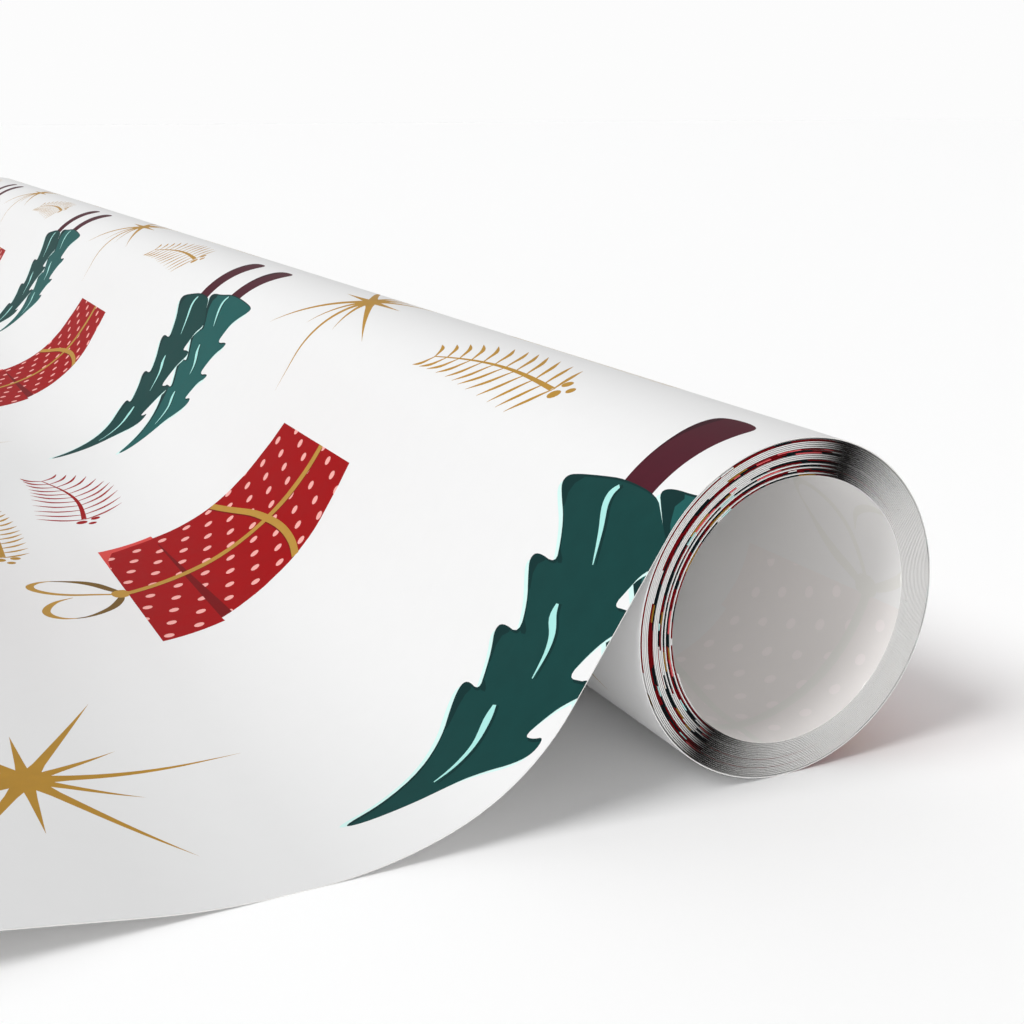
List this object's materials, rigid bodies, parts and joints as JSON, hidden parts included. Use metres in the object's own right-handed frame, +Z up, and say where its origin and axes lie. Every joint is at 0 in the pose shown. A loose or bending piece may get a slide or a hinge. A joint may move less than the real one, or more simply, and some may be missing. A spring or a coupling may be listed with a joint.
{
  "type": "wrapping paper roll",
  "caption": "Coreless roll of printed gift wrap lying on its side, with the leader drawn off over the top, down to the table and away in a shallow wave.",
  "frame": {"origin": "on the table, under the centre of the object's box, midway between the two end faces of the roll", "axes": "+Y along the roll's axis to its far end, +Z up from the table, the leader leaves the coil towards -X"},
  "size_m": [0.2113, 0.762, 0.0479],
  "materials": {
    "printed_paper": "satin white paper, printed on its outer side with trees, parcels, bursts and gold flourishes",
    "coiled_paper": "uncoated white paper back and cut edges, with the print's edge showing between the turns"
  },
  "bodies": {
    "outer_wrap": {"outer_wrap": "printed_paper"},
    "outer_turns": {"outer_turns": "coiled_paper"},
    "middle_turns": {"middle_turns": "coiled_paper"},
    "inner_turns": {"inner_turns": "coiled_paper"},
    "core_turns": {"core_turns": "coiled_paper"},
    "leader_slope": {"leader_drop": "printed_paper", "leader_upper_sweep": "printed_paper", "leader_lower_sweep": "printed_paper"},
    "leader_flat": {"leader_touchdown": "printed_paper", "leader_rise": "printed_paper", "leader_front_crest": "printed_paper"},
    "leader_end": {"leader_back_crest": "printed_paper", "leader_tail": "printed_paper"}
  },
  "joints": [
    {"name": "coil_turn", "type": "hinge", "parent": "outer_wrap", "child": "outer_turns", "pos_m": [0.08164, 0, 0.02397], "axis": [0, 1, 0], "continuous": true},
    {"name": "telescope_middle", "type": "slide", "parent": "outer_turns", "child": "middle_turns", "axis": [0, 1, 0], "range_m": [-0.02, 0.02]},
    {"name": "telescope_inner", "type": "slide", "parent": "middle_turns", "child": "inner_turns", "axis": [0, 1, 0], "range_m": [-0.02, 0.02]},
    {"name": "telescope_core", "type": "slide", "parent": "inner_turns", "child": "core_turns", "axis": [0, 1, 0], "range_m": [-0.02, 0.02]},
    {"name": "leader_lift", "type": "hinge", "parent": "outer_wrap", "child": "leader_slope", "pos_m": [0.06109, 0, 0.03731], "axis": [0, 1, 0], "range_deg": [0, 30]},
    {"name": "leader_fold", "type": "hinge", "parent": "leader_slope", "child": "leader_flat", "pos_m": [0.0134, 0, 0.0002], "axis": [0, 1, 0], "range_deg": [0, 50]},
    {"name": "end_curl", "type": "hinge", "parent": "leader_flat", "child": "leader_end", "pos_m": [-0.05712, 0, 0.00865], "axis": [0, 1, 0], "range_deg": [0, 60]}
  ],
  "couplings": [
    {"joint": "telescope_inner", "follows": "telescope_middle", "ratio": 1},
    {"joint": "telescope_core", "follows": "telescope_middle", "ratio": 1}
  ]
}
